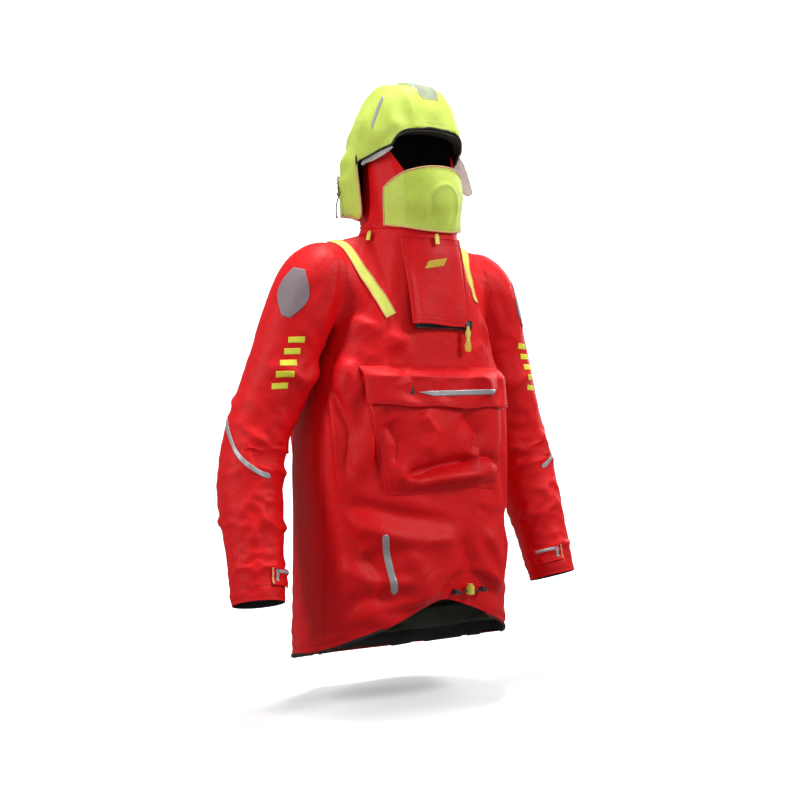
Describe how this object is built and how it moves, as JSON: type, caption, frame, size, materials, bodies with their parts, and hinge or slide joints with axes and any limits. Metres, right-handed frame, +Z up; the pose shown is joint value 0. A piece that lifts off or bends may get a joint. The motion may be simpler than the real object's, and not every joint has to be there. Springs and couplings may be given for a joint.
{
  "type": "foul weather jacket",
  "caption": "Hooded offshore sailing smock with face mask, storm flap, kangaroo pocket and jointed sleeves that raise and bend.",
  "frame": {"origin": "the hanger loop inside the back of the collar, where the jacket hangs", "axes": "+Z up, +X towards the wearer's left, -Y towards the wearer's front"},
  "size_m": [0.7738, 0.3146, 1.0964],
  "materials": {
    "shell_red": "laminated waterproof cloth, fine weave, low sheen",
    "shell_lime": "fluorescent yellow-green laminated cloth",
    "reflective": "retroreflective film, fine grain",
    "lining_black": "dark woven lining",
    "seal_black": "matt stretch seal",
    "patch_grey": "abrasion patch",
    "print_yellow": "printed marks",
    "moulded_yellow": "moulded, satin",
    "hardware_dark": "moulded, satin",
    "clear_window": "cloudy flexible film"
  },
  "bodies": {
    "torso": {"front_body_panel": "shell_red", "back_body_panel": "shell_red", "right_side_panel": "shell_red", "left_side_panel": "shell_red", "collar_shell": "shell_red", "collar_lining": "lining_black", "hem_facing": "lining_black", "inner_waistband": "lining_black", "entry_zip_tape": "lining_black", "entry_zip_teeth": "hardware_dark", "pocket_bag": "shell_red", "pocket_closure_strip": "lining_black", "right_shoulder_tape": "shell_lime", "left_shoulder_tape": "shell_lime", "right_hip_stripe": "reflective", "hanger_loop": "lining_black", "hem_eyelets": "hardware_dark", "hem_drawcord": "lining_black"},
    "hood": {"hood_centre_panel": "shell_lime", "hood_right_panel": "shell_lime", "hood_left_panel": "shell_lime", "hood_lining": "lining_black", "hood_rim_binding": "lining_black", "hood_crown_patch": "reflective", "hood_right_flash": "patch_grey", "right_side_window": "clear_window", "left_side_window": "clear_window"},
    "mask": {"face_mask": "shell_lime", "mask_vent": "shell_lime"},
    "storm_flap": {"storm_flap": "shell_red", "chest_emblem": "patch_grey"},
    "pocket_flap": {"pocket_flap": "shell_red", "pocket_flap_stripe": "reflective"},
    "zip_slider": {"zip_slider": "hardware_dark"},
    "zip_pull": {"zip_pull": "moulded_yellow"},
    "cord_lock": {"hem_cord_lock": "moulded_yellow"},
    "lock_button": {"hem_lock_button": "moulded_yellow"},
    "side_toggle": {"right_collar_toggle": "moulded_yellow"},
    "front_toggle": {"front_collar_toggle": "moulded_yellow"},
    "right_upper_arm": {"right_upper_sleeve": "shell_red", "right_shoulder_patch": "patch_grey", "right_sleeve_flash": "print_yellow"},
    "right_forearm": {"right_forearm_sleeve": "shell_red", "right_elbow_gusset": "shell_red", "right_sleeve_stripe": "reflective", "right_wrist_seal": "seal_black"},
    "right_cuff_tab": {"right_cuff_tab": "shell_red", "right_cuff_reflector": "reflective"},
    "left_upper_arm": {"left_upper_sleeve": "shell_red", "left_shoulder_patch": "patch_grey", "left_sleeve_flash": "print_yellow"},
    "left_forearm": {"left_forearm_sleeve": "shell_red", "left_elbow_gusset": "shell_red", "left_sleeve_stripe": "reflective", "left_wrist_seal": "seal_black"},
    "left_cuff_tab": {"left_cuff_tab": "shell_red", "left_cuff_reflector": "reflective"}
  },
  "joints": [
    {"name": "right_shoulder_raise", "type": "hinge", "parent": "torso", "child": "right_upper_arm", "pos_m": [-0.195, -0.062, -0.095], "axis": [0, 1, 0], "range_deg": [0, 70]},
    {"name": "right_elbow_bend", "type": "hinge", "parent": "right_upper_arm", "child": "right_forearm", "pos_m": [-0.32, -0.04, -0.43], "axis": [-1, 0, 0], "range_deg": [0, 60]},
    {"name": "right_cuff_tab_open", "type": "hinge", "parent": "right_forearm", "child": "right_cuff_tab", "pos_m": [-0.3316, -0.1542, -0.6272], "axis": [-0.0762, -0.2935, -0.9529], "range_deg": [0, 90]},
    {"name": "left_shoulder_raise", "type": "hinge", "parent": "torso", "child": "left_upper_arm", "pos_m": [0.195, -0.062, -0.095], "axis": [0, -1, 0], "range_deg": [0, 70]},
    {"name": "left_elbow_bend", "type": "hinge", "parent": "left_upper_arm", "child": "left_forearm", "pos_m": [0.32, -0.04, -0.43], "axis": [-1, 0, 0], "range_deg": [0, 60]},
    {"name": "left_cuff_tab_open", "type": "hinge", "parent": "left_forearm", "child": "left_cuff_tab", "pos_m": [0.3316, -0.1542, -0.6272], "axis": [-0.0762, 0.2935, 0.9529], "range_deg": [0, 90]},
    {"name": "hood_fold_back", "type": "hinge", "parent": "torso", "child": "hood", "pos_m": [0, 0.046, 0.035], "axis": [-1, 0, 0], "range_deg": [0, 90]},
    {"name": "mask_open", "type": "hinge", "parent": "torso", "child": "mask", "pos_m": [0.0844, -0.1292, 0.057], "axis": [0, 0, 1], "range_deg": [0, 110]},
    {"name": "storm_flap_open", "type": "hinge", "parent": "torso", "child": "storm_flap", "pos_m": [0.06687, -0.2038, -0.17166], "axis": [-0.0523, 0.2076, 0.9768], "range_deg": [0, 110]},
    {"name": "pocket_flap_open", "type": "hinge", "parent": "torso", "child": "pocket_flap", "pos_m": [0, -0.20915, -0.262], "axis": [-1, 0, 0], "range_deg": [0, 100]},
    {"name": "zip_run", "type": "slide", "parent": "torso", "child": "zip_slider", "axis": [-1, 0, 0], "range_m": [0, 0.1]},
    {"name": "pull_swing", "type": "hinge", "parent": "zip_slider", "child": "zip_pull", "pos_m": [0.05, -0.2104, -0.184], "axis": [-1, 0, 0], "range_deg": [0, 100]},
    {"name": "cord_lock_slide", "type": "slide", "parent": "torso", "child": "cord_lock", "axis": [1, 0, 0], "range_m": [-0.015, 0.015]},
    {"name": "lock_button_press", "type": "slide", "parent": "cord_lock", "child": "lock_button", "axis": [0, 0, -1], "range_m": [0, 0.003], "stiffness_N_per_m": 400, "springref_m": -0.001},
    {"name": "side_toggle_swing", "type": "hinge", "parent": "torso", "child": "side_toggle", "pos_m": [-0.09648, -0.10118, -0.01036], "axis": [-0.4834, 0.8754, 0], "range_deg": [0, 80]},
    {"name": "front_toggle_swing", "type": "hinge", "parent": "torso", "child": "front_toggle", "pos_m": [-0.01227, -0.19765, -0.02034], "axis": [-0.9916, 0.129, 0], "range_deg": [0, 80]}
  ]
}
